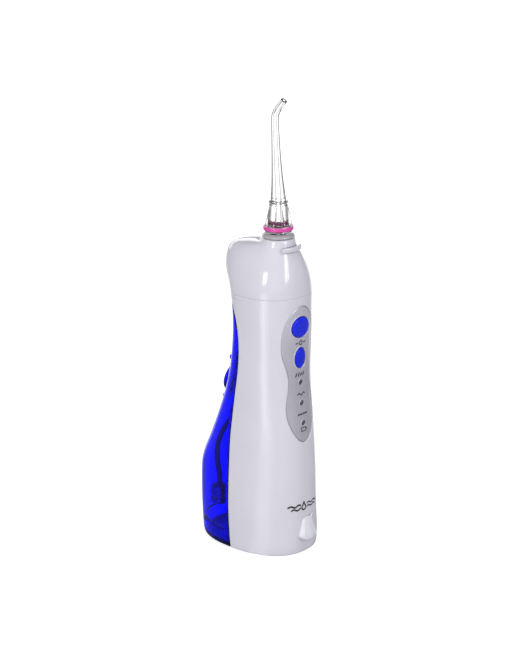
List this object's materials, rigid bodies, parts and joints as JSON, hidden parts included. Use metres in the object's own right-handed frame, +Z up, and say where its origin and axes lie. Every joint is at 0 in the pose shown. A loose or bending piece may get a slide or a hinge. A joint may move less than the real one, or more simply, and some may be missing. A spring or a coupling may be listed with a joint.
{
  "type": "cordless water flosser",
  "caption": "Handheld cordless water flosser with a clip-on rear water tank, front control panel, removable angled jet tip and a geared piston pump inside.",
  "frame": {"origin": "on the resting face, straight below the jet tip's axis", "axes": "+Z up along the jet tip's axis, -Y towards the control panel, +Y towards the water tank, X across the handle; the casings are symmetric about X = 0"},
  "size_m": [0.0572, 0.0858, 0.2902],
  "materials": {
    "white_shell": "gloss",
    "silver_panel": "satin metallic paint",
    "blue_key": "satin",
    "lamp": "smoked lens",
    "board": "solder mask",
    "steel": "plated",
    "brass": "machined",
    "cell_wrap": "shrink wrap",
    "black_plastic": "matte",
    "white_soft": "soft silicone",
    "frame_plastic": "moulded",
    "acetal": "moulded acetal",
    "rubber": "soft",
    "silicone": "milky tube",
    "clear_tip": "clear",
    "pink_ring": "gloss",
    "blue_tank": "translucent gloss"
  },
  "bodies": {
    "handle": {"front_housing": "white_shell", "head_cover": "white_shell", "rear_panel": "white_shell", "base_cover": "white_shell", "control_panel": "silver_panel", "lamp_normal": "lamp", "lamp_soft": "lamp", "lamp_pulse": "lamp", "control_board": "board", "power_switch": "steel", "mode_switch": "steel", "battery_cell": "cell_wrap", "charging_socket": "black_plastic", "inner_frame": "frame_plastic", "drive_motor": "steel", "gear_axle": "steel", "pump_cylinder": "acetal", "pump_head": "frame_plastic", "inlet_valve": "rubber", "inlet_hose": "silicone", "outlet_hose": "silicone", "suction_spigot": "frame_plastic", "tank_port_seal": "rubber", "tip_seat": "frame_plastic", "seat_o_ring": "rubber", "base_screw_1": "steel", "base_screw_2": "steel", "base_screw_3": "steel", "rear_panel_screw_1": "steel", "rear_panel_screw_2": "steel", "motor_screw_1": "steel", "motor_screw_2": "steel", "seat_screw_1": "steel", "seat_screw_2": "steel"},
    "power_key": {"power_button": "blue_key"},
    "mode_key": {"mode_button": "blue_key"},
    "release": {"release_slider": "white_shell", "release_spring": "steel"},
    "collar": {"rotating_collar": "white_shell"},
    "tip": {"jet_tip": "clear_tip", "colour_ring": "pink_ring"},
    "tank": {"tank_shell": "blue_tank", "tank_base": "blue_tank", "suction_tube": "silicone", "strainer_weight": "steel", "lid_hinge_pin": "steel"},
    "lid": {"filler_lid": "blue_tank", "filler_seal": "rubber"},
    "charging_plug": {"charging_cover": "white_soft"},
    "crank": {"crown_gear": "acetal"},
    "pinion": {"motor_shaft": "steel", "motor_pinion": "brass"},
    "conrod": {"connecting_rod": "acetal"},
    "plunger": {"piston": "acetal", "piston_seal": "rubber"}
  },
  "joints": [
    {"name": "power_press", "type": "slide", "parent": "handle", "child": "power_key", "axis": [0, 1, 0], "range_m": [0, 0.0008], "stiffness_N_per_m": 100},
    {"name": "mode_press", "type": "slide", "parent": "handle", "child": "mode_key", "axis": [0, 1, 0], "range_m": [0, 0.0008], "stiffness_N_per_m": 100},
    {"name": "release_press", "type": "slide", "parent": "handle", "child": "release", "axis": [0, 1, 0], "range_m": [0, 0.001], "stiffness_N_per_m": 100},
    {"name": "tip_turn", "type": "hinge", "parent": "handle", "child": "collar", "pos_m": [0, 0, 0.195], "axis": [0, 0, 1], "continuous": true},
    {"name": "tip_pull", "type": "slide", "parent": "collar", "child": "tip", "axis": [0, 0, 1], "range_m": [0, 0.02]},
    {"name": "tank_pull", "type": "slide", "parent": "handle", "child": "tank", "axis": [0, 1, 0], "range_m": [0, 0.045]},
    {"name": "filler_lid_open", "type": "hinge", "parent": "tank", "child": "lid", "pos_m": [0, 0.03169, 0.12144], "axis": [1, 0, 0], "range_deg": [0, 110]},
    {"name": "charging_cover_pull", "type": "slide", "parent": "handle", "child": "charging_plug", "axis": [0, -1, 0], "range_m": [0, 0.008]},
    {"name": "crank_spin", "type": "hinge", "parent": "handle", "child": "crank", "pos_m": [-0.0095, 0.005, 0.078], "axis": [0, 1, 0], "continuous": true},
    {"name": "motor_spin", "type": "hinge", "parent": "handle", "child": "pinion", "pos_m": [-0.0095, 0, 0.066], "axis": [0, 0, 1], "continuous": true},
    {"name": "conrod_turn", "type": "hinge", "parent": "crank", "child": "conrod", "pos_m": [-0.0095, -0.0009, 0.0755], "axis": [0, 1, 0], "continuous": true},
    {"name": "piston_stroke", "type": "slide", "parent": "handle", "child": "plunger", "axis": [0, 0, 1], "range_m": [0, 0.005]}
  ],
  "couplings": [
    {"joint": "motor_spin", "follows": "crank_spin", "ratio": 3.3333},
    {"joint": "conrod_turn", "follows": "crank_spin", "ratio": -1}
  ]
}
